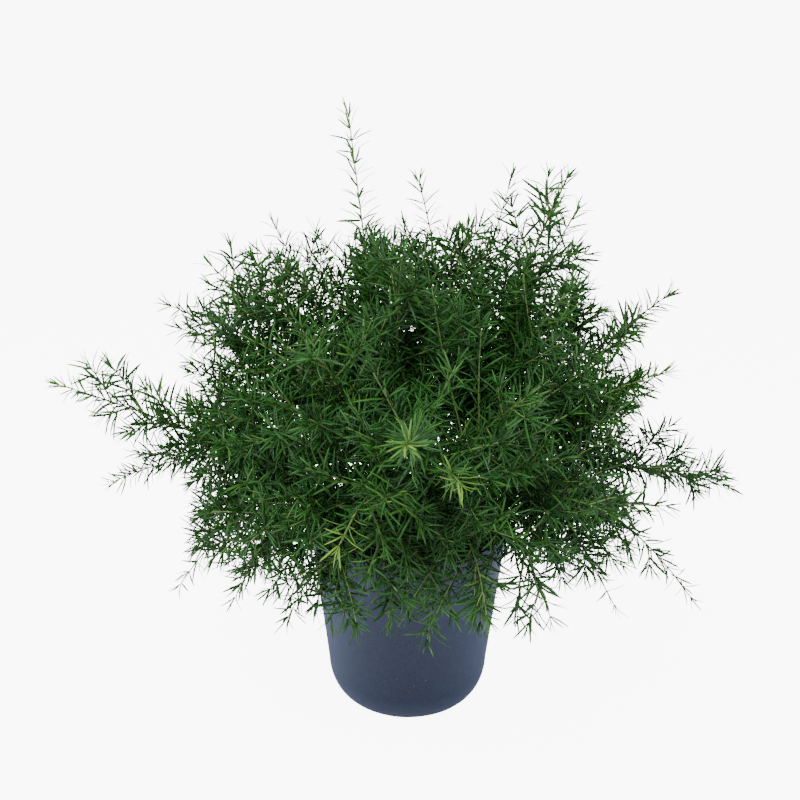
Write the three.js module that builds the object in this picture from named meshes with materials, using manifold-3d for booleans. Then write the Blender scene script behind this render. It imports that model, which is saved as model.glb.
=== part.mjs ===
// Potted asparagus fern: a nursery pot full of potting mix, with a clump of arching fronds.
// Millimetres, +Z up. The origin is on the floor under the middle of the pot.
import * as THREE from "three";
import { mergeVertices } from "three/addons/utils/BufferGeometryUtils.js";
import Module from "manifold-3d";

const wasm = await Module();
wasm.setup();

// Driving dimensions. The pot is a blow-moulded 170 mm nursery pot.
const POT_RADIUS = 85;
const POT_HEIGHT = 160;
const WALL = 1.3;
const COLLAR_HEIGHT = 6.5;
const COLLAR_PROUD = 1.5;
const BELLY_RADIUS = 69; // outer radius where the wall turns into the rounded corner
const CORNER_HEIGHT = 29;
const CORNER_DEPTH = 17;
const FOOT_WIDTH = 6;
const FLOOR_LIFT = 5; // the pot's floor stands this far above the surface
const NOTCHES = 5; // gaps between the feet, each with a drain hole
const NOTCH_ARC = THREE.MathUtils.degToRad(30);
const NOTCH_HEIGHT = 4;
const NOTCH_TURN = THREE.MathUtils.degToRad(-3);
const DRAIN_RADIUS = 5;
const POT_SIDES = 44;
const RIDGE_DROP = 22; // a faint step runs round the wall this far below the rim
const RIDGE_STEP = 0.5;

const HEADSPACE = 17; // from the rim down to the mix
const MIX_CROWNING = 3; // the mix is this much higher in the middle
const FIT_GAP = 0.3;
const CROWN_RADIUS = 40;
const CROWN_HEIGHT = 9;

// The clump. Leaders are the long fronds that stand clear of the mound, and the rest fill it.
const STEM_RADIUS = 1.4;
const STEM_TIP_RADIUS = 0.45;
const STEM_SIDES = 4;
const STEM_STEPS = 10;
const STEM_CLEARANCE = 0.8; // between one stem and the next
const BUD_SPREAD = 34; // radius on the crown that the stems rise from
const SIDE_REACH = 266; // the tips of the furthest fronds, left and right
const DEPTH_REACH = 240; // and front and back
const MOUND_HALF_WIDTH = 170;
const MOUND_HEIGHT = 226; // above the rim
const MOUND_SQUARENESS = 3.2; // 2 would be an ellipsoid
const MOUND_FRONDS = 32;
const MOUND_TILTS = [8, 106]; // degrees from upright, from the first frond to the last
const MOUND_DROOP = 0.05; // below the rim, the mound is this much flatter
const GOLDEN_ANGLE = Math.PI * (3 - Math.sqrt(5));
const BRANCH_PITCH = 12; // along the stem
const BRANCHES_KEPT = 4; // one side branch in this many is part of the solid
const BRANCH_START = 0.25; // the lower share of each stem is bare
const BRANCH_LONGEST = 115;
const BRANCH_SHORTEST = 16; // at the tip of a stem; lower on it even the shortest are longer
const BRANCH_TAPER = 0.45; // of the length of stem that is left
const UNDERSIDE = 0.45; // branches that hang from a stem are this much shorter
const BRANCH_RADIUS = 0.8;
const BRANCH_TIP_RADIUS = 0.35;
const BRANCH_SIDES = 3;
const BRANCH_CLEARANCE = 0.8; // a twig with less room than this to another stem isn't grown

// Each leader's tip, how far its stem climbs above the straight line before it arches over, how far it sways to
// the side, and the share of the stem above which it is a plain shoot with no side branches.
const LEADERS = [
  { tip: [-47, 12, 478], climb: 12, sway: 18, branched: 0.62 },
  { tip: [6, 30, 430], climb: 10, sway: -42, branched: 0.74 },
  { tip: [76, 20, 434], climb: 8, sway: 14, branched: 0.7 },
  { tip: [112, -12, 437], climb: 22, sway: -10, branched: 0.92 },
  { tip: [130, 34, 408], climb: 24, sway: 10, branched: 0.86 },
  { tip: [-107, 36, 392], climb: 30, sway: -12, branched: 0.88 },
  { tip: [-150, -8, 370], climb: 44, sway: 10, branched: 0.92 },
  { tip: [-192, 26, 332], climb: 60, sway: -10, branched: 0.86 },
  { tip: [201, 10, 346], climb: 30, sway: 16, branched: 0.8 },
  { tip: [186, -52, 302], climb: 52, sway: -14, branched: 0.84 },
  { tip: [SIDE_REACH, 4, 186], climb: 62, sway: 14, branched: 0.93 },
  { tip: [226, -46, 116], climb: 128, sway: -12, branched: 0.86 },
  { tip: [204, 52, 98], climb: 136, sway: 10, branched: 0.84 },
  { tip: [-SIDE_REACH, -34, 284], climb: 26, sway: 12, branched: 0.88 },
  { tip: [-250, 18, 182], climb: 74, sway: -10, branched: 0.7 },
  { tip: [-180, -58, 128], climb: 116, sway: 12, branched: 0.84 },
  { tip: [-84, -124, 158], climb: 92, sway: -8, branched: 0.86 },
  { tip: [-20, -140, 184], climb: 78, sway: 10, branched: 0.9 },
  { tip: [-136, -66, 122], climb: 112, sway: -8, branched: 0.88 },
  { tip: [-5, -DEPTH_REACH, 318], climb: 60, sway: 10, branched: 0.7 },
  { tip: [28, -196, 276], climb: 66, sway: -12, branched: 0.74 },
  { tip: [-46, -178, 226], climb: 84, sway: 12, branched: 0.76 },
  { tip: [-38, DEPTH_REACH, 222], climb: 88, sway: -10, branched: 0.84 },
  { tip: [160, -70, 120], climb: 116, sway: 8, branched: 0.88 },
];

// A repeatable number from 0 to 1 for three whole numbers.
function chance(i, j, k) {
  const wave = Math.sin(i * 127.1 + j * 311.7 + k * 74.7) * 43758.5453;
  return wave - Math.floor(wave);
}

function solidOf(geometry) {
  const bare = geometry.index ? geometry.toNonIndexed() : geometry.clone();
  bare.deleteAttribute("normal");
  bare.deleteAttribute("uv");
  const merged = mergeVertices(bare, 1e-4);
  return new wasm.Manifold(
    new wasm.Mesh({
      numProp: 3,
      vertProperties: new Float32Array(merged.attributes.position.array),
      triVerts: new Uint32Array(merged.index.array),
    }),
  );
}

function geometryOf(solid) {
  const mesh = solid.getMesh();
  return new THREE.BufferGeometry()
    .setAttribute("position", new THREE.BufferAttribute(mesh.vertProperties, 3))
    .setIndex(new THREE.BufferAttribute(mesh.triVerts, 1));
}

// A solid of revolution about Z from [radius, height] points that run from the axis back to the axis.
function turned(profile, sides) {
  const points = profile.map(([r, z]) => new THREE.Vector2(r, z));
  return new THREE.LatheGeometry(points, sides).rotateX(Math.PI / 2);
}

// The rounded corner and straight wall of the pot, moved in by an inset, as [radius, height] from the foot up.
function wallProfile(inset, lowest, top, corners = 6) {
  const centre = BELLY_RADIUS - CORNER_DEPTH;
  const depth = CORNER_DEPTH - inset;
  const height = CORNER_HEIGHT - lowest;
  const points = [];
  for (let k = 0; k <= corners; k++) {
    const turn = (k / corners) * (Math.PI / 2);
    points.push([centre + depth * Math.sin(turn), CORNER_HEIGHT - height * Math.cos(turn)]);
  }
  const ridge = POT_HEIGHT - RIDGE_DROP;
  points.push([wallRadius(ridge) - RIDGE_STEP - inset, ridge - 1]);
  points.push([wallRadius(ridge) - inset, ridge]);
  points.push([wallRadius(top) - inset, top]);
  return points;
}

// Outer radius of the straight wall at a height.
function wallRadius(z) {
  const share = (z - CORNER_HEIGHT) / (POT_HEIGHT - CORNER_HEIGHT);
  return BELLY_RADIUS + share * (POT_RADIUS - COLLAR_PROUD - BELLY_RADIUS);
}

function pot() {
  const footRadius = BELLY_RADIUS - CORNER_DEPTH;
  const collarBase = POT_HEIGHT - COLLAR_HEIGHT;
  const outside = wallProfile(0, 0, collarBase);
  const inside = wallProfile(WALL, FLOOR_LIFT + WALL, POT_HEIGHT).reverse();
  const shell = turned(
    [
      [0, FLOOR_LIFT],
      [footRadius - FOOT_WIDTH, FLOOR_LIFT],
      [footRadius - FOOT_WIDTH, 0],
      ...outside,
      [POT_RADIUS, collarBase],
      [POT_RADIUS, POT_HEIGHT],
      ...inside,
      [0, FLOOR_LIFT + WALL],
    ],
    POT_SIDES,
  );
  let solid = solidOf(shell);
  for (let k = 0; k < NOTCHES; k++) {
    const turn = NOTCH_TURN + (k * 2 * Math.PI) / NOTCHES;
    const width = 2 * footRadius * Math.sin(NOTCH_ARC / 2);
    const notch = new THREE.BoxGeometry(4 * FOOT_WIDTH, width, 2 * NOTCH_HEIGHT)
      .translate(footRadius + FOOT_WIDTH / 2, 0, 0)
      .rotateZ(turn);
    const drain = new THREE.CylinderGeometry(DRAIN_RADIUS, DRAIN_RADIUS, 4 * FLOOR_LIFT, 12)
      .rotateX(Math.PI / 2)
      .translate(footRadius, 0, FLOOR_LIFT)
      .rotateZ(turn);
    solid = solid.subtract(solidOf(notch)).subtract(solidOf(drain));
  }
  return geometryOf(solid);
}

const MIX_LEVEL = POT_HEIGHT - HEADSPACE;

// Height of the mix's surface at a distance from the middle.
function mixHeight(radius) {
  const share = radius / wallRadius(MIX_LEVEL);
  return MIX_LEVEL + MIX_CROWNING * (1 - share * share);
}

function pottingMix() {
  const side = wallProfile(WALL + FIT_GAP, FLOOR_LIFT + WALL + FIT_GAP, MIX_LEVEL, 4);
  const edge = side[side.length - 1][0];
  const surface = [0.75, 0.5, 0.25, 0].map((share) => [edge * share, mixHeight(edge * share)]);
  return turned([[0, FLOOR_LIFT + WALL + FIT_GAP], ...side, ...surface], 32);
}

// Height of the crown's top at a distance from the middle.
function crownHeight(radius) {
  const share = radius / CROWN_RADIUS;
  return mixHeight(0) + FIT_GAP + CROWN_HEIGHT * Math.sqrt(1 - share * share);
}

function crown() {
  const foot = mixHeight(0) + FIT_GAP;
  const dome = [0.99, 0.9, 0.7, 0.45, 0.2].map((share) => [
    CROWN_RADIUS * share,
    crownHeight(CROWN_RADIUS * share),
  ]);
  return turned([[0, foot], [CROWN_RADIUS, foot], ...dome, [0, crownHeight(0)]], 20);
}

// How far out a place is: 0 in the middle of the mound at the rim's height, and 1 on its surface.
function outwardness(across, up) {
  const height = MOUND_HEIGHT * (up < 0 ? MOUND_DROOP : 1);
  const parts = [across / MOUND_HALF_WIDTH, Math.abs(up) / height];
  const sum = parts.reduce((total, part) => total + Math.pow(part, MOUND_SQUARENESS), 0);
  return Math.pow(sum, 1 / MOUND_SQUARENESS);
}

// The plans of the fronds that make up the mound: their tips lie on its surface, one golden angle apart.
function moundPlans() {
  const [steep, low] = MOUND_TILTS.map((tilt) => Math.cos(THREE.MathUtils.degToRad(tilt)));
  const plans = [];
  for (let k = 0; k < MOUND_FRONDS; k++) {
    const share = (k + 0.5) / MOUND_FRONDS;
    const rise = THREE.MathUtils.lerp(steep, low, share);
    const across = MOUND_HALF_WIDTH * Math.sqrt(1 - rise * rise);
    const up = MOUND_HEIGHT * rise * (rise < 0 ? MOUND_DROOP : 1);
    const size = (0.94 + 0.16 * chance(k, 1, 0)) / outwardness(across, up);
    const azimuth = k * GOLDEN_ANGLE;
    plans.push({
      tip: [size * across * Math.cos(azimuth), size * across * Math.sin(azimuth), POT_HEIGHT + size * up],
      climb: 14 + 78 * share * share,
      sway: 24 * (chance(k, 2, 0) - 0.5),
      branched: 0.95,
    });
  }
  return plans.reverse(); // the lowest first, so that they get the outer buds
}

// Gives each frond the free bud on the crown that is nearest to the way it heads.
function frondPlans() {
  const plans = [...LEADERS, ...moundPlans()];
  const buds = plans.map((_, k) => {
    const radius = BUD_SPREAD * Math.sqrt((k + 0.5) / plans.length);
    return [radius * Math.cos(k * GOLDEN_ANGLE), radius * Math.sin(k * GOLDEN_ANGLE)];
  });
  return plans.map((plan) => {
    const reach = Math.hypot(plan.tip[0], plan.tip[1], plan.tip[2] - POT_HEIGHT);
    const [x, y] = plan.tip.map((place) => (place * BUD_SPREAD) / reach);
    const gaps = buds.map(([bx, by]) => Math.hypot(x - bx, y - by));
    const [[bx, by]] = buds.splice(gaps.indexOf(Math.min(...gaps)), 1);
    const lift = FIT_GAP + 0.6 * STEM_RADIUS;
    const base = new THREE.Vector3(bx, by, crownHeight(Math.hypot(bx, by)) + lift);
    return { ...plan, base, tip: new THREE.Vector3(...plan.tip) };
  });
}

// The arching line of a stem. It is moved over, a little more at each try, until it is clear.
function archOf(plan, taken) {
  const { base, tip } = plan;
  const heading = Math.atan2(tip.y - base.y, tip.x - base.x);
  const across = new THREE.Vector3(-Math.sin(heading), Math.cos(heading), 0);
  for (let attempt = 0; attempt < 60; attempt++) {
    const shift = (attempt % 2 ? 1 : -1) * attempt * 2.5;
    const bend = base
      .clone()
      .lerp(tip, 0.45)
      .addScaledVector(across, plan.sway + shift)
      .add(new THREE.Vector3(0, 0, plan.climb + 1.5 * attempt));
    const end = tip.clone().addScaledVector(across, shift / 2);
    const curve = new THREE.QuadraticBezierCurve3(base, bend, end);
    const clear = stretchesOf(curve).every((stretch) =>
      taken.every((other) => gapBetween(stretch, other.stretch) > 2 * STEM_RADIUS + STEM_CLEARANCE),
    );
    if (clear) return { curve, across, branched: plan.branched };
  }
  throw new Error("a stem has no clear way up");
}

// A closed, tapered rod along a curve. Its section keeps one side facing across.
function rod(curve, across, baseRadius, tipRadius, sides, steps) {
  const shape = new THREE.CylinderGeometry(tipRadius, baseRadius, 1, sides, steps);
  const places = shape.attributes.position;
  const vertex = new THREE.Vector3();
  for (let n = 0; n < places.count; n++) {
    vertex.fromBufferAttribute(places, n);
    const { at, one, two } = frameAt(curve, vertex.y + 0.5, across);
    at.addScaledVector(one, vertex.x).addScaledVector(two, -vertex.z);
    places.setXYZ(n, at.x, at.y, at.z);
  }
  return shape;
}

// A point on a curve, the way it runs there, and two directions square to it.
function frameAt(curve, share, across) {
  const at = curve.getPoint(share);
  const along = curve.getTangent(share);
  const one = across.clone().addScaledVector(along, -across.dot(along)).normalize();
  const two = new THREE.Vector3().crossVectors(along, one);
  return { at, along, one, two };
}

// How long a branch can be before it leaves the mound, from a least length up.
function roomInMound(at, way, least) {
  let length = least;
  while (length < BRANCH_LONGEST) {
    const end = at.clone().addScaledVector(way, length);
    if (outwardness(Math.hypot(end.x, end.y), end.z - POT_HEIGHT) > 1) break;
    length += 4;
  }
  return length;
}

// The side branches of a frond, from low on the stem to where it becomes a plain shoot.
function twigsOf({ curve, across, branched }, number) {
  const whole = curve.getLength();
  const count = Math.round((whole * (branched - BRANCH_START)) / BRANCH_PITCH);
  const twigs = [];
  for (let j = 0; j < count; j++) {
    const place = BRANCH_START + ((branched - BRANCH_START) * (j + 0.5)) / count;
    const { at, along, one, two } = frameAt(curve, place, across);
    const turn = j * GOLDEN_ANGLE + 2 * chance(number, j, 3);
    const lean = THREE.MathUtils.degToRad(62 - 24 * place);
    const way = along
      .multiplyScalar(Math.cos(lean))
      .addScaledVector(one, Math.sin(lean) * Math.cos(turn))
      .addScaledVector(two, Math.sin(lean) * Math.sin(turn));
    const share = way.z < 0 ? UNDERSIDE : 1;
    const least = share * (BRANCH_SHORTEST + BRANCH_TAPER * (1 - place) * whole);
    const length = roomInMound(at, way, least) * (0.8 + 0.3 * chance(number, j, 4));
    twigs.push({ from: at, to: at.clone().addScaledVector(way, length), across: one });
  }
  return twigs;
}

// The least distance between two straight stretches, each [from, to].
function gapBetween([p, q], [r, s]) {
  const d1 = q.clone().sub(p);
  const d2 = s.clone().sub(r);
  const w = p.clone().sub(r);
  const a = d1.dot(d1);
  const b = d1.dot(d2);
  const c = d2.dot(d2);
  const along2 = THREE.MathUtils.clamp;
  const square = a * c - b * b;
  let t = square > 1e-9 ? along2((b * d2.dot(w) - c * d1.dot(w)) / square, 0, 1) : 0;
  const u = along2((b * t + d2.dot(w)) / c, 0, 1);
  t = along2((b * u - d1.dot(w)) / a, 0, 1);
  return p.clone().addScaledVector(d1, t).distanceTo(r.clone().addScaledVector(d2, u));
}

function stretchesOf(curve) {
  const points = curve.getPoints(STEM_STEPS);
  return points.slice(1).map((point, k) => [points[k], point]);
}

const green = new THREE.MeshStandardMaterial({ color: 0x3f7a36, roughness: 0.5 });
const plant = new THREE.Group();

// Adds the fronds. Every stem is laid out first, and then each twig that has room for itself.
function addFronds() {
  const taken = [];
  const stems = frondPlans().map((plan, owner) => {
    const stem = archOf(plan, taken);
    for (const stretch of stretchesOf(stem.curve)) taken.push({ owner, stretch, radius: STEM_RADIUS });
    return stem;
  });
  stems.forEach((stem, owner) => {
    let solid = solidOf(
      rod(stem.curve, stem.across, STEM_RADIUS, STEM_TIP_RADIUS, STEM_SIDES, STEM_STEPS),
    );
    for (const twig of twigsOf(stem, owner).filter((_, j) => j % BRANCHES_KEPT === 1)) {
      const stretch = [twig.from, twig.to];
      const crowded = taken.some(
        (other) =>
          other.owner !== owner &&
          gapBetween(stretch, other.stretch) < BRANCH_RADIUS + other.radius + BRANCH_CLEARANCE,
      );
      if (crowded) continue;
      taken.push({ owner, stretch, radius: BRANCH_RADIUS });
      const line = new THREE.LineCurve3(twig.from, twig.to);
      const branch = rod(line, twig.across, BRANCH_RADIUS, BRANCH_TIP_RADIUS, BRANCH_SIDES, 1);
      solid = solid.add(solidOf(branch));
    }
    addPiece("frond_" + String(owner + 1).padStart(2, "0"), geometryOf(solid), green);
  });
}

function addPiece(name, geometry, material) {
  const mesh = new THREE.Mesh(geometry, material);
  mesh.name = name;
  plant.add(mesh);
}

const potPlastic = new THREE.MeshStandardMaterial({ color: 0x34415a, roughness: 0.6 });
const mixBrown = new THREE.MeshStandardMaterial({ color: 0x2a2119, roughness: 0.95 });
const crownTan = new THREE.MeshStandardMaterial({ color: 0x7d7148, roughness: 0.8 });

addPiece("pot", pot(), potPlastic);
addPiece("potting_mix", pottingMix(), mixBrown);
addPiece("crown", crown(), crownTan);
addFronds();

export default plant;
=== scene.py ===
# %% [markdown]
# # A potted asparagus fern
#
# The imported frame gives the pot, the mix, the crown and 56 bare fronds at their real size. This script gives each
# of them its visible form: a smooth pot, a crumbly mix, and fronds with all their side branches and their foliage.

# %%
import math

import bpy
import numpy as np
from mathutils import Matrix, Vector


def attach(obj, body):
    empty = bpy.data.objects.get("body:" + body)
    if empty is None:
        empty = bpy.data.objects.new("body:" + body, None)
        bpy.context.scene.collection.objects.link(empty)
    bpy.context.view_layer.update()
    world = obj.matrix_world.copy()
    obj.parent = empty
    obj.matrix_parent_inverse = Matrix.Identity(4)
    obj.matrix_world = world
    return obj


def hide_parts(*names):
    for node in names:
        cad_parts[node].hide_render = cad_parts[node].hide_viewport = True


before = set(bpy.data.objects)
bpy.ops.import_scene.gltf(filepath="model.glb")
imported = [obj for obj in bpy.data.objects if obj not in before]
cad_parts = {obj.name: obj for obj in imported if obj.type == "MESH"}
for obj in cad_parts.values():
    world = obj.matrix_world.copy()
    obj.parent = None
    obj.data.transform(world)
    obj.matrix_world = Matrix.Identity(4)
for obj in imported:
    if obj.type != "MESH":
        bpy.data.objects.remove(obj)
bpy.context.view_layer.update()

MM = 0.001
print("frame:", len(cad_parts), "nodes")

# %% [markdown]
# ## Helpers
#
# Round things are drawn as one ring that is extruded from point to point of a profile. What repeats, such as a
# cladode or a bark chip, is modelled once, and its copies are set into one mesh.


# %%
def nothing_selected():
    if bpy.context.mode != "OBJECT":
        bpy.ops.object.mode_set(mode="OBJECT")
    bpy.ops.object.select_all(action="DESELECT")


def only(piece):
    nothing_selected()
    piece.select_set(True)
    bpy.context.view_layer.objects.active = piece


def placed(piece, name):
    """Puts the object's place into its mesh and names it."""
    only(piece)
    bpy.ops.object.transform_apply(location=True, rotation=True, scale=True)
    piece.name = piece.data.name = name
    return piece


def choose(piece, test):
    """Selects the vertices whose place passes the test, and leaves the piece in edit mode."""
    bpy.ops.object.mode_set(mode="EDIT")
    bpy.ops.mesh.select_mode(type="VERT")
    bpy.ops.mesh.select_all(action="DESELECT")
    bpy.ops.object.mode_set(mode="OBJECT")
    for vertex in piece.data.vertices:
        vertex.select = test(vertex.co)
    bpy.ops.object.mode_set(mode="EDIT")


def turned(name, profile, sides):
    """A solid of revolution about Z. The profile is [radius, height] in mm, and its two ends are filled."""
    nothing_selected()
    first_r, first_z = profile[0]
    bpy.ops.mesh.primitive_circle_add(vertices=sides, radius=first_r * MM, location=(0, 0, first_z * MM))
    piece = placed(bpy.context.active_object, name)
    bpy.ops.object.mode_set(mode="EDIT")
    bpy.ops.mesh.select_all(action="SELECT")
    for (r0, z0), (r1, z1) in zip(profile, profile[1:]):
        bpy.ops.mesh.extrude_edges_move(TRANSFORM_OT_translate={"value": (0, 0, (z1 - z0) * MM)})
        bpy.ops.transform.resize(value=(r1 / r0, r1 / r0, 1), center_override=(0, 0, 0))
    bpy.ops.mesh.edge_face_add()
    choose(piece, lambda p: abs(p.z - first_z * MM) < 1e-6 and p.xy.length < first_r * MM + 1e-6)
    bpy.ops.mesh.edge_face_add()
    bpy.ops.mesh.select_all(action="SELECT")
    bpy.ops.mesh.normals_make_consistent(inside=False)
    bpy.ops.object.mode_set(mode="OBJECT")
    return piece


def cut(piece, cutters):
    """Takes the cutters out of the piece and removes them."""
    for cutter in cutters:
        only(piece)
        modifier = piece.modifiers.new("cut", "BOOLEAN")
        modifier.operation, modifier.solver, modifier.object = "DIFFERENCE", "EXACT", cutter
        bpy.ops.object.modifier_apply(modifier=modifier.name)
        bpy.data.objects.remove(cutter)
    return piece


def shape_of(model):
    """The model's vertices, faces and UV map as arrays. The model itself is removed."""
    mesh = model.data
    points = np.array([v.co for v in mesh.vertices])
    faces = [list(f.vertices) for f in mesh.polygons]
    uvs = np.array([loop.uv for loop in mesh.uv_layers.active.data]) if mesh.uv_layers else None
    bpy.data.objects.remove(model)
    return points, faces, uvs


def copies(name, shape, places, turns):
    """One mesh that holds a copy of the shape for each place, turned and sized by its 3 x 3 matrix."""
    points, faces, _ = shape
    placed_points = np.einsum("nij,pj->npi", turns, points) + places[:, None, :]
    sizes = [len(face) for face in faces]
    flat = np.concatenate(faces)
    corners = (np.arange(len(places))[:, None] * len(points) + flat).ravel()
    mesh = bpy.data.meshes.new(name)
    mesh.vertices.add(len(places) * len(points))
    mesh.vertices.foreach_set("co", placed_points.ravel())
    mesh.loops.add(len(corners))
    mesh.loops.foreach_set("vertex_index", corners.astype(np.int32))
    starts = np.concatenate([[0], np.cumsum(sizes)[:-1]])
    mesh.polygons.add(len(places) * len(sizes))
    mesh.polygons.foreach_set(
        "loop_start", (np.arange(len(places))[:, None] * len(flat) + starts).ravel().astype(np.int32)
    )
    mesh.update(calc_edges=True)
    piece = bpy.data.objects.new(name, mesh)
    bpy.context.scene.collection.objects.link(piece)
    return piece


def paint(piece, material):
    piece.data.materials.clear()
    piece.data.materials.append(material)
    return piece


rng = np.random.default_rng(7)
print("helpers ready")

# %% [markdown]
# ## Materials
#
# The pot is moulded slate-blue plastic with a few pale specks, and a painted sheen where it is seen aslant, in place
# of the reflection of the white surround. Foliage takes its shade from the row of its UV map that a cladode was given,
# from old deep green to young yellow-green, so that no two neighbours match.


# %%
def new_material(name, roughness):
    material = bpy.data.materials.new(name)
    material.use_nodes = True
    nodes = material.node_tree.nodes
    surface = nodes["Principled BSDF"]
    surface.inputs["Roughness"].default_value = roughness
    return material, nodes, material.node_tree.links, surface


def ramp_node(nodes, stops):
    ramp = nodes.new("ShaderNodeValToRGB")
    elements = ramp.color_ramp.elements
    while len(elements) < len(stops):
        elements.new(0.5)
    for element, (position, colour) in zip(elements, stops):
        element.position, element.color = position, (*colour, 1)
    return ramp


def mottled(name, scale, detail, stops, roughness):
    """A material whose colour follows noise on Object coordinates through a ramp."""
    material, nodes, links, surface = new_material(name, roughness)
    where = nodes.new("ShaderNodeTexCoord")
    noise = nodes.new("ShaderNodeTexNoise")
    noise.inputs["Scale"].default_value, noise.inputs["Detail"].default_value = scale, detail
    ramp = ramp_node(nodes, stops)
    links.new(where.outputs["Object"], noise.inputs["Vector"])
    links.new(noise.outputs["Fac"], ramp.inputs["Fac"])
    links.new(ramp.outputs["Color"], surface.inputs["Base Color"])
    return material


SHADES = 24
SPECKS_PER_M, SPECK_COLOUR = 130, (0.3, 0.32, 0.36)
# The second pair sets a painted sheen: a pale blue-grey mixed in where the pot is seen aslant, in place of the white
# surround's reflection.
SHEEN_BLEND, PAINTED_SHEEN_COLOUR = 0.28, (0.13, 0.18, 0.33)

plastic = mottled(
    "slate_blue_plastic", 900, 3, [(0.3, (0.007, 0.014, 0.044)), (0.75, (0.024, 0.042, 0.108))], 0.5
)
nodes, links = plastic.node_tree.nodes, plastic.node_tree.links
surface = nodes["Principled BSDF"]
mould = surface.inputs["Base Color"].links[0].from_socket
where = nodes["Texture Coordinate"]
grit = nodes.new("ShaderNodeTexVoronoi")
grit.inputs["Scale"].default_value = SPECKS_PER_M
specks = ramp_node(nodes, [(0.03, (0.5, 0.5, 0.5)), (0.07, (0, 0, 0))])
# Painted sheen: the pale colour is mixed in more where the surface is seen aslant, as the reflection of the white
# surround would be.
aslant = nodes.new("ShaderNodeLayerWeight")
aslant.inputs["Blend"].default_value = SHEEN_BLEND
painted_sheen = ramp_node(nodes, [(0.15, (0, 0, 0)), (0.85, (0.8, 0.8, 0.8))])
links.new(where.outputs["Object"], grit.inputs["Vector"])
links.new(grit.outputs["Distance"], specks.inputs["Fac"])
links.new(aslant.outputs["Facing"], painted_sheen.inputs["Fac"])
# The pale specks are real; the second mix paints the sheen.
for amount, colour in ((specks, SPECK_COLOUR), (painted_sheen, PAINTED_SHEEN_COLOUR)):
    specks_and_sheen = nodes.new("ShaderNodeMix")
    specks_and_sheen.data_type = "RGBA"
    specks_and_sheen.inputs[7].default_value = (*colour, 1)
    links.new(amount.outputs["Color"], specks_and_sheen.inputs["Factor"])
    links.new(mould, specks_and_sheen.inputs[6])
    mould = specks_and_sheen.outputs[2]
links.new(mould, surface.inputs["Base Color"])
mix_brown = mottled(
    "bark_and_peat", 420, 6, [(0.3, (0.012, 0.008, 0.005)), (0.7, (0.07, 0.045, 0.028))], 0.95
)
chip_brown = mottled(
    "bark_chips", 160, 6, [(0.3, (0.035, 0.02, 0.012)), (0.7, (0.16, 0.1, 0.06))], 0.9
)
perlite_white = mottled("perlite", 800, 2, [(0.2, (0.5, 0.48, 0.44)), (0.8, (0.8, 0.79, 0.76))], 0.9)
crown_tan = mottled("crown_rind", 300, 5, [(0.3, (0.12, 0.1, 0.04)), (0.7, (0.35, 0.32, 0.16))], 0.8)
stem_green = mottled("stem_rind", 60, 3, [(0.3, (0.11, 0.2, 0.045)), (0.7, (0.24, 0.36, 0.11))], 0.5)

cladode_green, nodes, links, surface = new_material("cladode_green", 0.42)
where = nodes.new("ShaderNodeUVMap")
where.uv_map = "OFBake"
parts = nodes.new("ShaderNodeSeparateXYZ")
shade = ramp_node(
    nodes,
    [
        (0.0, (0.004, 0.034, 0.005)),
        (0.3, (0.01, 0.075, 0.008)),
        (0.6, (0.028, 0.15, 0.016)),
        (0.85, (0.09, 0.27, 0.032)),
        (1.0, (0.27, 0.48, 0.07)),
    ],
)
lengthways = ramp_node(
    nodes, [(0.0, (0.6, 0.62, 0.55)), (0.25, (0.9, 0.9, 0.9)), (0.8, (1, 1, 1)), (1.0, (1.25, 1.15, 0.8))]
)
tint = nodes.new("ShaderNodeMix")
tint.data_type, tint.blend_type = "RGBA", "MULTIPLY"
tint.inputs["Factor"].default_value = 1.0
links.new(where.outputs["UV"], parts.inputs["Vector"])
links.new(parts.outputs["Y"], shade.inputs["Fac"])
links.new(parts.outputs["X"], lengthways.inputs["Fac"])
links.new(shade.outputs["Color"], tint.inputs[6])
links.new(lengthways.outputs["Color"], tint.inputs[7])
links.new(tint.outputs[2], surface.inputs["Base Color"])
print("materials:", len(bpy.data.materials))

# %% [markdown]
# ## Pot
#
# A blow-moulded pot is one thin shell. Its ring is extruded up the outside, over the collar and down the inside, and
# the drain notches and holes are cut out.

# %%
POT_RADIUS, POT_HEIGHT, WALL = 85, 160, 1.3
COLLAR_HEIGHT, COLLAR_PROUD = 6.5, 1.5
BELLY_RADIUS, CORNER_HEIGHT, CORNER_DEPTH = 69, 29, 17
FOOT_WIDTH, FLOOR_LIFT = 6, 5
NOTCHES, NOTCH_ARC, NOTCH_HEIGHT, NOTCH_TURN = 5, math.radians(30), 4, math.radians(-3)
RIDGE_DROP, RIDGE_STEP = 22, 0.5
FOOT_RADIUS = BELLY_RADIUS - CORNER_DEPTH
HEADSPACE, MIX_CROWNING, FIT_GAP = 17, 3, 0.3
POT_SIDES, MIX_SIDES, CROWN_SIDES = 160, 120, 64
CAP_RADIUS, DRAIN_RADIUS = 10, 5  # the cap closes the middle of a turned solid


def wall_radius(z):
    share = (z - CORNER_HEIGHT) / (POT_HEIGHT - CORNER_HEIGHT)
    return BELLY_RADIUS + share * (POT_RADIUS - COLLAR_PROUD - BELLY_RADIUS)


def wall_profile(inset, lowest, top, corners=12):
    """The rounded corner and the wall with its ridge, moved in by an inset, from the foot to the top."""
    points = []
    for k in range(corners + 1):
        turn = k / corners * math.pi / 2
        radius = FOOT_RADIUS + (CORNER_DEPTH - inset) * math.sin(turn)
        points.append((radius, CORNER_HEIGHT - (CORNER_HEIGHT - lowest) * math.cos(turn)))
    ridge = POT_HEIGHT - RIDGE_DROP
    points.append((wall_radius(ridge) - RIDGE_STEP - inset, ridge - 1))
    points.append((wall_radius(ridge) - inset, ridge))
    points.append((wall_radius(top) - inset, top))
    return points


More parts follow.
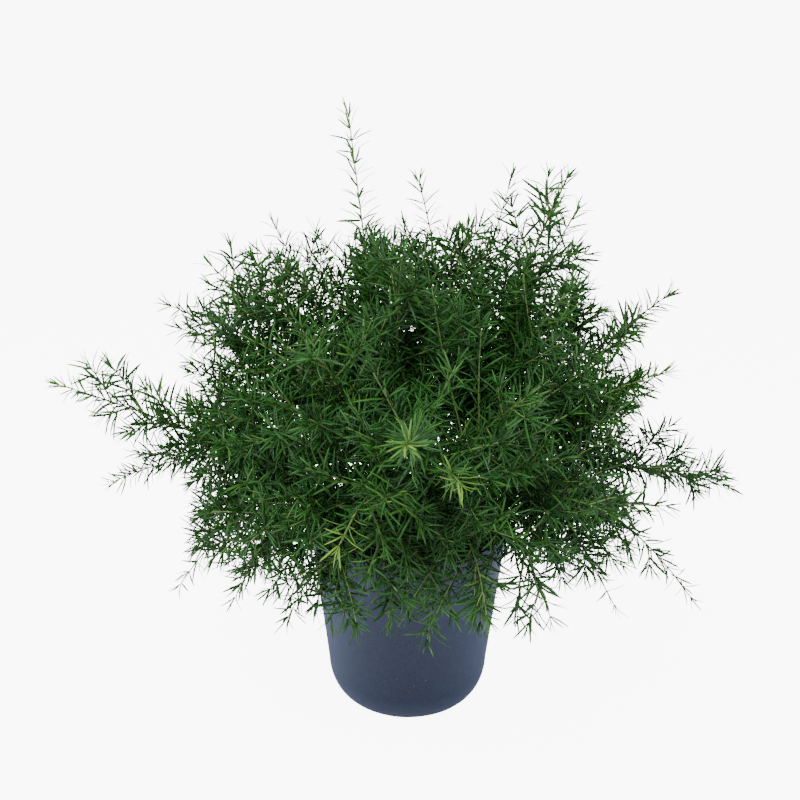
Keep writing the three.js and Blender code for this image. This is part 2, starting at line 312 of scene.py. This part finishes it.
collar_foot = POT_HEIGHT - COLLAR_HEIGHT
inside = wall_profile(WALL, FLOOR_LIFT + WALL, POT_HEIGHT - 0.5)[::-1]
pot = turned(
    "pot_shell",
    [
        (CAP_RADIUS, FLOOR_LIFT),
        (FOOT_RADIUS - FOOT_WIDTH, FLOOR_LIFT),
        (FOOT_RADIUS - FOOT_WIDTH, 0.6),
        (FOOT_RADIUS - FOOT_WIDTH + 0.6, 0),
        *wall_profile(0, 0, collar_foot - 0.6),
        (POT_RADIUS - 0.5, collar_foot - 0.1),
        (POT_RADIUS, collar_foot + 0.5),
        (POT_RADIUS, POT_HEIGHT - 0.6),
        (POT_RADIUS - 0.6, POT_HEIGHT),
        (POT_RADIUS - COLLAR_PROUD - WALL + 0.5, POT_HEIGHT),
        *inside,
        (CAP_RADIUS, FLOOR_LIFT + WALL),
    ],
    POT_SIDES,
)
cutters = []
for k in range(NOTCHES):
    turn = NOTCH_TURN + k * 2 * math.pi / NOTCHES
    place = [FOOT_RADIUS * MM * math.cos(turn), FOOT_RADIUS * MM * math.sin(turn)]
    nothing_selected()
    bpy.ops.mesh.primitive_cube_add(size=1, location=(*place, 0), rotation=(0, 0, turn))
    notch = bpy.context.active_object
    notch.scale = (
        4 * FOOT_WIDTH * MM,
        2 * FOOT_RADIUS * MM * math.sin(NOTCH_ARC / 2),
        2 * NOTCH_HEIGHT * MM,
    )
    cutters.append(placed(notch, "notch"))
    nothing_selected()
    bpy.ops.mesh.primitive_cylinder_add(
        vertices=24, radius=DRAIN_RADIUS * MM, depth=40 * MM, location=(*place, 5 * MM)
    )
    cutters.append(placed(bpy.context.active_object, "drain"))
cut(pot, cutters)
only(pot)
bpy.ops.object.shade_smooth_by_angle(angle=math.radians(40))
paint(pot, plastic)
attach(pot, "root")
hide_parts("pot")
print("pot:", len(pot.data.polygons), "faces")

# %% [markdown]
# ## Potting mix
#
# The mix is a solid that fills the pot. Its top is roughened, and bark chips and perlite lie on it.

# %%
MIX_LEVEL = POT_HEIGHT - HEADSPACE
BARK_CHIPS, PERLITE_GRAINS = 260, 90


def mix_height(radius):
    share = radius / wall_radius(MIX_LEVEL)
    return MIX_LEVEL + MIX_CROWNING * (1 - share * share)


side = wall_profile(WALL + FIT_GAP, FLOOR_LIFT + WALL + FIT_GAP, MIX_LEVEL - 0.5)
edge = side[-1][0] - 0.5
rings = [(edge * (1 - k / 26), mix_height(edge * (1 - k / 26))) for k in range(26)]
mix = turned("mix_body", [(CAP_RADIUS, FLOOR_LIFT + WALL + FIT_GAP), *side, *rings], MIX_SIDES)
choose(mix, lambda p: p.z > (MIX_LEVEL - 0.1) * MM and p.xy.length < 0.97 * edge * MM)
bpy.ops.transform.vertex_random(offset=1.1 * MM, uniform=0.2, normal=0.0, seed=3)
bpy.ops.object.mode_set(mode="OBJECT")
paint(mix, mix_brown)
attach(mix, "root")
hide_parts("potting_mix")


def loose(count, sizes, sink):
    """Places and turns for bits that lie on the mix."""
    radius = (edge - 5) * np.sqrt(rng.uniform(0, 1, count))
    angle = rng.uniform(0, 2 * math.pi, count)
    size = rng.uniform(*sizes, count)
    height = np.array([mix_height(r) for r in radius]) + size * sink
    places = np.stack([radius * np.cos(angle), radius * np.sin(angle), height], 1) * MM
    return places, turns_of(count) * size[:, None, None] * MM


def turns_of(count, most=0.5):
    """Random turns about Z with a little tilt."""
    spin, tilt_x, tilt_y = rng.uniform(0, 2 * math.pi, count), *rng.uniform(-most, most, (2, count))
    c, s = np.cos(spin), np.sin(spin)
    zero, one = np.zeros(count), np.ones(count)
    about_z = np.array([[c, -s, zero], [s, c, zero], [zero, zero, one]]).transpose(2, 0, 1)
    c, s = np.cos(tilt_x), np.sin(tilt_x)
    about_x = np.array([[one, zero, zero], [zero, c, -s], [zero, s, c]]).transpose(2, 0, 1)
    c, s = np.cos(tilt_y), np.sin(tilt_y)
    about_y = np.array([[c, zero, s], [zero, one, zero], [-s, zero, c]]).transpose(2, 0, 1)
    return about_z @ about_x @ about_y


nothing_selected()
bpy.ops.mesh.primitive_cube_add(size=1)
chip = bpy.context.active_object
chip.scale = (1, 0.6, 0.22)
placed(chip, "chip")
bpy.ops.object.mode_set(mode="EDIT")
bpy.ops.mesh.bevel(offset=0.06, segments=1)
bpy.ops.transform.vertex_random(offset=0.07, seed=5)
bpy.ops.object.mode_set(mode="OBJECT")
chips = copies("mix_bark_chips", shape_of(chip), *loose(BARK_CHIPS, (3, 9), 0.08))
paint(chips, chip_brown)
nothing_selected()
bpy.ops.mesh.primitive_ico_sphere_add(subdivisions=1, radius=0.5)
grain = bpy.context.active_object
perlite = copies("mix_perlite", shape_of(grain), *loose(PERLITE_GRAINS, (1.2, 3), 0.2))
paint(perlite, perlite_white)
for piece in (chips, perlite):
    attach(piece, "root")
print("mix:", len(mix.data.polygons), "faces,", len(chips.data.polygons), "of chips")

# %% [markdown]
# ## Crown
#
# The crown is the low knot that the stems rise from, with the stubs of old stems on it.

# %%
CROWN_RADIUS, CROWN_HEIGHT, OLD_STUBS = 40, 9, 70


def crown_height(radius):
    share = radius / CROWN_RADIUS
    return mix_height(0) + FIT_GAP + CROWN_HEIGHT * math.sqrt(1 - share * share)


dome = [(CROWN_RADIUS * s, crown_height(CROWN_RADIUS * s)) for s in np.linspace(0.995, 0.05, 16)]
crown_foot = mix_height(0) + FIT_GAP
crown = turned("crown_knot", [(CAP_RADIUS, crown_foot), (CROWN_RADIUS, crown_foot), *dome], CROWN_SIDES)
choose(crown, lambda p: p.z > (mix_height(0) + 1) * MM)
bpy.ops.transform.vertex_random(offset=0.5 * MM, seed=8)
bpy.ops.object.mode_set(mode="OBJECT")
paint(crown, crown_tan)
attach(crown, "root")
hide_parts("crown")
nothing_selected()
bpy.ops.mesh.primitive_cone_add(vertices=6, radius1=0.5, radius2=0.3, depth=2)
stub = bpy.context.active_object
radius = CROWN_RADIUS * 0.95 * np.sqrt(rng.uniform(0, 1, OLD_STUBS))
angle = rng.uniform(0, 2 * math.pi, OLD_STUBS)
height = np.array([crown_height(r) for r in radius])
places = np.stack([radius * np.cos(angle), radius * np.sin(angle), height], 1) * MM
sizes = rng.uniform(2, 5, OLD_STUBS)[:, None, None] * MM
stubs = copies("crown_old_stubs", shape_of(stub), places, turns_of(OLD_STUBS) * sizes)
paint(stubs, crown_tan)
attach(stubs, "root")
print("crown:", len(crown.data.polygons), "faces")

# %% [markdown]
# ## How the clump grows
#
# This is the same rule as the frame's fronds follow. Leaders are the long fronds whose tips make the outline. The tips
# of the others lie on a dome, one golden angle apart. Each stem is an arch from a bud on the crown to its tip, and it
# moves over until it is clear of the stems before it.

# %%
STEM_RADIUS, STEM_TIP_RADIUS, STEM_STEPS, STEM_CLEARANCE = 1.4, 0.45, 10, 0.8
BUD_SPREAD = 34
SIDE_REACH, DEPTH_REACH = 266, 240
MOUND_HALF_WIDTH, MOUND_HEIGHT, MOUND_SQUARENESS, MOUND_FRONDS = 170, 226, 3.2, 32
MOUND_TILTS, MOUND_DROOP = (8, 106), 0.05
GOLDEN_ANGLE = math.pi * (3 - math.sqrt(5))
BRANCH_PITCH, BRANCH_START = 12, 0.25
BRANCH_LONGEST, BRANCH_SHORTEST, BRANCH_TAPER, UNDERSIDE = 115, 16, 0.45, 0.45
BRANCH_RADIUS, BRANCH_TIP_RADIUS = 0.8, 0.35

# The tip, how far the stem climbs above a straight line and sways to the side, and where its side branches end.
LEADERS = [
    ((-47, 12, 478), 12, 18, 0.62),
    ((6, 30, 430), 10, -42, 0.74),
    ((76, 20, 434), 8, 14, 0.7),
    ((112, -12, 437), 22, -10, 0.92),
    ((130, 34, 408), 24, 10, 0.86),
    ((-107, 36, 392), 30, -12, 0.88),
    ((-150, -8, 370), 44, 10, 0.92),
    ((-192, 26, 332), 60, -10, 0.86),
    ((201, 10, 346), 30, 16, 0.8),
    ((186, -52, 302), 52, -14, 0.84),
    ((SIDE_REACH, 4, 186), 62, 14, 0.93),
    ((226, -46, 116), 128, -12, 0.86),
    ((204, 52, 98), 136, 10, 0.84),
    ((-SIDE_REACH, -34, 284), 26, 12, 0.88),
    ((-250, 18, 182), 74, -10, 0.7),
    ((-180, -58, 128), 116, 12, 0.84),
    ((-84, -124, 158), 92, -8, 0.86),
    ((-20, -140, 184), 78, 10, 0.9),
    ((-136, -66, 122), 112, -8, 0.88),
    ((-5, -DEPTH_REACH, 318), 60, 10, 0.7),
    ((28, -196, 276), 66, -12, 0.74),
    ((-46, -178, 226), 84, 12, 0.76),
    ((-38, DEPTH_REACH, 222), 88, -10, 0.84),
    ((160, -70, 120), 116, 8, 0.88),
]


def chance(i, j, k):
    """A repeatable number from 0 to 1 for three whole numbers."""
    wave = math.sin(i * 127.1 + j * 311.7 + k * 74.7) * 43758.5453
    return wave - math.floor(wave)


def outwardness(across, up):
    """How far out a place is: 0 in the middle of the mound at the rim's height, and 1 on its surface."""
    height = MOUND_HEIGHT * (MOUND_DROOP if up < 0 else 1)
    total = (across / MOUND_HALF_WIDTH) ** MOUND_SQUARENESS + (abs(up) / height) ** MOUND_SQUARENESS
    return total ** (1 / MOUND_SQUARENESS)


def mound_plans():
    steep, low = (math.cos(math.radians(tilt)) for tilt in MOUND_TILTS)
    plans = []
    for k in range(MOUND_FRONDS):
        share = (k + 0.5) / MOUND_FRONDS
        rise = steep + (low - steep) * share
        across = MOUND_HALF_WIDTH * math.sqrt(1 - rise * rise)
        up = MOUND_HEIGHT * rise * (MOUND_DROOP if rise < 0 else 1)
        size = (0.94 + 0.16 * chance(k, 1, 0)) / outwardness(across, up)
        azimuth = k * GOLDEN_ANGLE
        tip = (
            size * across * math.cos(azimuth),
            size * across * math.sin(azimuth),
            POT_HEIGHT + size * up,
        )
        plans.append((tip, 14 + 78 * share * share, 24 * (chance(k, 2, 0) - 0.5), 0.95))
    return plans[::-1]  # the lowest first, so that they get the outer buds


def frond_plans():
    """Gives each frond the free bud that is nearest to the way it heads."""
    plans = LEADERS + mound_plans()
    spread = [BUD_SPREAD * math.sqrt((k + 0.5) / len(plans)) for k in range(len(plans))]
    buds = [(r * math.cos(k * GOLDEN_ANGLE), r * math.sin(k * GOLDEN_ANGLE)) for k, r in enumerate(spread)]
    placed_plans = []
    for tip, climb, sway, branched in plans:
        reach = math.hypot(tip[0], tip[1], tip[2] - POT_HEIGHT)
        x, y = tip[0] * BUD_SPREAD / reach, tip[1] * BUD_SPREAD / reach
        bx, by = buds.pop(min(range(len(buds)), key=lambda k: math.hypot(x - buds[k][0], y - buds[k][1])))
        lift = FIT_GAP + 0.6 * STEM_RADIUS
        base = np.array([bx, by, crown_height(math.hypot(bx, by)) + lift])
        placed_plans.append((base, np.array(tip, float), climb, sway, branched))
    return placed_plans


def gaps_to(p, q, starts, ends):
    """The least distance from the stretch p to q to each of many others."""
    d1, d2, w = q - p, ends - starts, p - starts
    a, b, c = d1 @ d1, d2 @ d1, (d2 * d2).sum(1)
    f, g = w @ d1, (w * d2).sum(1)
    square = a * c - b * b
    t = np.where(square > 1e-9, np.clip((b * g - c * f) / np.maximum(square, 1e-9), 0, 1), 0)
    u = np.clip((b * t + g) / c, 0, 1)
    t = np.clip((b * u - f) / a, 0, 1)
    return np.linalg.norm(w + t[:, None] * d1 - u[:, None] * d2, axis=1)


class Arch:
    """A quadratic curve from a base, past a bend, to a tip, with a direction across it."""

    def __init__(self, base, bend, tip, across, branched=1.0):
        self.base, self.bend, self.tip, self.across, self.branched = base, bend, tip, across, branched

    def point(self, share):
        s = 1 - share
        return s * s * self.base + 2 * s * share * self.bend + share * share * self.tip

    def points(self, steps):
        return np.array([self.point(k / steps) for k in range(steps + 1)])

    def length(self):
        return np.linalg.norm(np.diff(self.points(200), axis=0), axis=1).sum()

    def frame(self, share):
        """The point there, the way the curve runs, and two directions square to it."""
        along = 2 * (1 - share) * (self.bend - self.base) + 2 * share * (self.tip - self.bend)
        along = along / np.linalg.norm(along)
        one = self.across - (self.across @ along) * along
        one = one / np.linalg.norm(one)
        return self.point(share), along, one, np.cross(along, one)


def arch_of(base, tip, climb, sway, branched, taken):
    heading = math.atan2(tip[1] - base[1], tip[0] - base[0])
    across = np.array([-math.sin(heading), math.cos(heading), 0])
    for attempt in range(60):
        shift = (1 if attempt % 2 else -1) * attempt * 2.5
        bend = base + 0.45 * (tip - base) + (sway + shift) * across + np.array([0, 0, climb + 1.5 * attempt])
        arch = Arch(base, bend, tip + shift / 2 * across, across, branched)
        points = arch.points(STEM_STEPS)
        stretches = list(zip(points, points[1:]))
        room = 2 * STEM_RADIUS + STEM_CLEARANCE
        starts, ends = np.array([a for a, _ in taken]), np.array([b for _, b in taken])
        if not taken or all(gaps_to(p, q, starts, ends).min() > room for p, q in stretches):
            taken.extend(stretches)
            return arch
    raise RuntimeError("a stem has no clear way up")


def room_in_mound(at, way, least):
    """How long a branch can be before it leaves the mound, from a least length up."""
    length = least
    while length < BRANCH_LONGEST:
        end = at + length * way
        if outwardness(math.hypot(end[0], end[1]), end[2] - POT_HEIGHT) > 1:
            break
        length += 4
    return length


def branches_of(arch, number):
    """The side branches of a frond, as (arch, share of the stem where it starts)."""
    whole = arch.length()
    count = math.floor(whole * (arch.branched - BRANCH_START) / BRANCH_PITCH + 0.5)
    branches = []
    for j in range(count):
        place = BRANCH_START + (arch.branched - BRANCH_START) * (j + 0.5) / count
        at, along, one, two = arch.frame(place)
        turn = j * GOLDEN_ANGLE + 2 * chance(number, j, 3)
        lean = math.radians(62 - 24 * place)
        out = math.cos(turn) * one + math.sin(turn) * two
        way = math.cos(lean) * along + math.sin(lean) * out
        least = (UNDERSIDE if way[2] < 0 else 1) * (BRANCH_SHORTEST + BRANCH_TAPER * (1 - place) * whole)
        length = room_in_mound(at, way, least) * (0.8 + 0.3 * chance(number, j, 4))
        bend = at + 0.5 * length * way + 0.07 * length * out
        branches.append((Arch(at, bend, at + length * way, one), place))
    return branches


taken = []
arches = [arch_of(*plan, taken) for plan in frond_plans()]
print("clump:", len(arches), "stems")

# %% [markdown]
# ## One cladode
#
# A cladode is a flat, pointed blade with a keel: four sides, three rings and two points, and a slight bow. It is
# modelled 1 long and 1 wide, standing on Z.

# %%
nothing_selected()
bpy.ops.mesh.primitive_circle_add(vertices=4, radius=0.36, location=(0, 0, 0.1))
blade = placed(bpy.context.active_object, "cladode")
bpy.ops.object.mode_set(mode="EDIT")
bpy.ops.mesh.select_all(action="SELECT")
for rise, widen in ((0.35, 0.5 / 0.36), (0.37, 0.34 / 0.5)):
    bpy.ops.mesh.extrude_edges_move(TRANSFORM_OT_translate={"value": (0, 0, rise)})
    bpy.ops.transform.resize(value=(widen, widen, 1), center_override=(0, 0, 0))
bpy.ops.mesh.extrude_edges_move(TRANSFORM_OT_translate={"value": (0, 0, 0.18)})
bpy.ops.mesh.merge(type="CENTER")
choose(blade, lambda p: p.z < 0.11)
bpy.ops.mesh.extrude_edges_move(TRANSFORM_OT_translate={"value": (0, 0, -0.1)})
bpy.ops.mesh.merge(type="CENTER")
bpy.ops.mesh.select_all(action="SELECT")
bpy.ops.mesh.normals_make_consistent(inside=False)
bpy.ops.transform.resize(value=(1, 0.4, 1), center_override=(0, 0, 0))
for height, bow in ((0.1, 0.3), (0.45, 0.8), (0.82, 0.45)):
    choose(blade, lambda p: abs(p.z - height) < 0.01)
    bpy.ops.transform.translate(value=(0, bow, 0))
bpy.ops.object.mode_set(mode="OBJECT")
cladode = shape_of(blade)
print("cladode:", len(cladode[1]), "faces, box", cladode[0].min(0), cladode[0].max(0))

# %% [markdown]
# ## Stems
#
# Every stem and side branch is a tapering round rod: a bevelled curve that is turned into a mesh.

# %%
STEM_DRAWN_STEPS, BRANCH_DRAWN_STEPS = 14, 5


def stem_mesh(name, arch, branches):
    """The main stem and the side branches of a frond in one piece."""
    curve = bpy.data.curves.new(name, "CURVE")
    curve.dimensions, curve.bevel_depth, curve.bevel_resolution = "3D", 1 * MM, 0
    curve.use_fill_caps = True
    rods = [(arch, STEM_DRAWN_STEPS, STEM_RADIUS, STEM_TIP_RADIUS)]
    rods += [(branch, BRANCH_DRAWN_STEPS, BRANCH_RADIUS, BRANCH_TIP_RADIUS) for branch, _ in branches]
    for rod, steps, thick, thin in rods:
        spline = curve.splines.new("POLY")
        spline.points.add(steps)
        for k, (point, place) in enumerate(zip(spline.points, rod.points(steps))):
            point.co = (*(place * MM), 1)
            point.radius = thick + (thin - thick) * k / steps
    piece = bpy.data.objects.new(name, curve)
    bpy.context.scene.collection.objects.link(piece)
    only(piece)
    bpy.ops.object.convert(target="MESH")
    piece = bpy.context.active_object
    bpy.ops.object.shade_smooth()
    return piece


# %% [markdown]
# ## Foliage
#
# Cladodes stand in small clusters all along the side branches and the upper stem, and lean towards its tip. Young
# ones near the tips are shorter and paler.

# %%
NODE_PITCH = 8.0
CLUSTER = 5
CLADODE_LENGTH = (17, 27)
CLADODE_WIDTH = 2.1
BARE_WITHIN = 0.25  # no foliage this deep in the mound, where no light gets to it
LEAN, LEAN_SPREAD, LESS_AT_TIP = 62, 11, 30
ROLL_SPREAD = 0.7
BASE_TONE, TONE_OF_FROND, TONE_SPREAD = 0.42, 0.2, 0.12
PLUME_PITCH = 0.62  # how much closer the clusters of a plume stand


def joints_along(arch, first, pitch):
    """The places of the clusters on an arch: point, direction, two directions across, and share."""
    count = max(2, round(arch.length() * (1 - first) / pitch))
    shares = first + (1 - first) * (np.arange(count) + 1) / count
    return [(*arch.frame(share), share) for share in shares]


def foliage_mesh(name, arch, branches, tone, tip_tone, pitch):
    joints = [(*joint, joint[-1]) for joint in joints_along(arch, BRANCH_START, pitch)]
    for branch, place in branches:
        joints += [(*joint, place) for joint in joints_along(branch, 0.15, pitch)]
    depths = [outwardness(math.hypot(*joint[0][:2]), joint[0][2] - POT_HEIGHT) for joint in joints]
    joints = [joint for joint, depth in zip(joints, depths) if depth > BARE_WITHIN]
    at, along, one, two = (np.repeat([joint[k] for joint in joints], CLUSTER, 0) for k in range(4))
    share, stem_share = (np.repeat([joint[k] for joint in joints], CLUSTER) for k in (4, 5))
    count = len(at)
    spin = np.repeat(rng.uniform(0, 2 * math.pi, len(joints)), CLUSTER)
    spin = spin + np.tile(np.arange(CLUSTER) * 2 * math.pi / CLUSTER, len(joints)) + rng.normal(0, 0.4, count)
    lean = np.radians(rng.normal(LEAN, LEAN_SPREAD, count) - np.where(share > 0.97, LESS_AT_TIP, 0))
    out = np.cos(spin)[:, None] * one + np.sin(spin)[:, None] * two
    way = np.cos(lean)[:, None] * along + np.sin(lean)[:, None] * out
    side = np.cross(along, out)
    flat = np.cross(way, side)
    roll = rng.normal(0, ROLL_SPREAD, count)[:, None]
    across = np.cos(roll) * side + np.sin(roll) * flat
    youth = 1 - 0.35 * share**4
    length = rng.uniform(*CLADODE_LENGTH, count) * youth
    width = CLADODE_WIDTH * rng.uniform(0.8, 1.15, count) * youth
    turns = np.stack(
        [across * width[:, None], np.cross(way, across) * width[:, None], way * length[:, None]], 2
    )
    piece = copies(name, cladode, at * MM, turns * MM)
    shade = tone + 0.16 * (share - 0.5) + 0.12 * (stem_share - 0.5) + rng.normal(0, TONE_SPREAD, count)
    shade += (0.08 + tip_tone) * np.clip((share * stem_share - 0.7) / 0.25, 0, 1)
    row = np.clip(shade * SHADES, 0, SHADES - 1).astype(int)
    points, faces, _ = cladode
    corner = points[np.concatenate(faces)]
    u = np.tile(corner[:, 2], count)
    v = (row[:, None] + 0.1 + 0.8 * (corner[:, 0] + 0.5)[None, :]).ravel() / SHADES
    uv_map = piece.data.uv_layers.new(name="OFBake")
    uv_map.uv.foreach_set("vector", np.stack([u, v], 1).ravel().astype(np.float32))
    return piece


# Fronds that are younger and paler than the rest: by how much all over, and at the tip.
YOUNG = {
    1: (0.12, 0.1),
    5: (0.12, 0.1),
    14: (0.22, 0.15),
    15: (0.12, 0),
    20: (0, 0.4),
    21: (0, 0.3),
    22: (0.08, 0.5),
}
# Fronds whose foliage stands closer, as a plume.
PLUMES = (9, 10, 11, 14, 15)

total = 0
for k, arch in enumerate(arches):
    name = f"frond_{k + 1:02d}"
    branches = branches_of(arch, k)
    paler, tip_paler = YOUNG.get(k + 1, (0, 0))
    tone = BASE_TONE + TONE_OF_FROND * (chance(k, 5, 2) - 0.5) + paler
    pitch = NODE_PITCH * (PLUME_PITCH if k + 1 in PLUMES else 1)
    stem = paint(stem_mesh(name + "_stem", arch, branches), stem_green)
    foliage = paint(foliage_mesh(name + "_foliage", arch, branches, tone, tip_paler, pitch), cladode_green)
    total += len(foliage.data.polygons) // len(cladode[1])
    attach(stem, "root")
    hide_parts(name)
    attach(foliage, "root")
print("fronds:", len(arches), "with", total, "cladodes")

# %% [markdown]
# ## Studio
#
# A plain white floor in a white surround. Both are seen brighter than they shine, so that they stay white while the
# foliage keeps its deep shade. A large soft light stands above the camera, and a weaker one on each side.


# %%
FLOOR_SEEN, WORLD_SEEN, WORLD_SHINING = 8.5, 9.0, 0.42
KEY_ENERGY, SIDE_ENERGY = 34, 16


def glow_to_camera(nodes, links, strength_socket, seen, shining):
    """Sets a strength that is different for the camera than for the light that the surface gives."""
    path = nodes.new("ShaderNodeLightPath")
    choice = nodes.new("ShaderNodeMix")
    choice.inputs["A"].default_value, choice.inputs["B"].default_value = shining, seen
    links.new(path.outputs["Is Camera Ray"], choice.inputs["Factor"])
    links.new(choice.outputs["Result"], strength_socket)


nothing_selected()
bpy.ops.mesh.primitive_plane_add(size=12, location=(0, 0, 0))
floor = bpy.context.active_object
floor.name = "floor"
floor_white, nodes, links, surface = new_material("floor_white", 0.9)
surface.inputs["Base Color"].default_value = (0.9, 0.9, 0.9, 1)
surface.inputs["Emission Color"].default_value = (1, 1, 1, 1)
glow_to_camera(nodes, links, surface.inputs["Emission Strength"], FLOOR_SEEN, 0.0)
paint(floor, floor_white)

world = bpy.data.worlds.new("surround")
world.use_nodes = True
nodes, links = world.node_tree.nodes, world.node_tree.links
nodes["Background"].inputs["Color"].default_value = (1, 1, 1, 1)
glow_to_camera(nodes, links, nodes["Background"].inputs["Strength"], WORLD_SEEN, WORLD_SHINING)
bpy.context.scene.world = world


def soft_light(name, place, size, energy):
    """A square light that faces the middle of the plant."""
    light = bpy.data.lights.new(name, "AREA")
    light.size, light.energy = size, energy
    lamp = bpy.data.objects.new(name, light)
    lamp.location = place
    lamp.rotation_euler = (Vector((0, 0, 0.25)) - Vector(place)).to_track_quat("-Z", "Y").to_euler()
    bpy.context.scene.collection.objects.link(lamp)


soft_light("key", (-0.35, -1.0, 1.9), 0.7, KEY_ENERGY)
soft_light("left", (-1.8, 0.1, 0.6), 1.4, SIDE_ENERGY)
soft_light("right", (1.8, 0.1, 0.6), 1.4, SIDE_ENERGY)

lens = bpy.data.cameras.new("camera")
lens.lens, lens.sensor_width = 40.5, 36
camera = bpy.data.objects.new("camera", lens)
camera.location = (-0.0094, -0.685, 0.494)
camera.rotation_euler = (math.radians(90 - 18.7), math.radians(-0.35), 0)
bpy.context.scene.collection.objects.link(camera)
bpy.context.scene.camera = camera
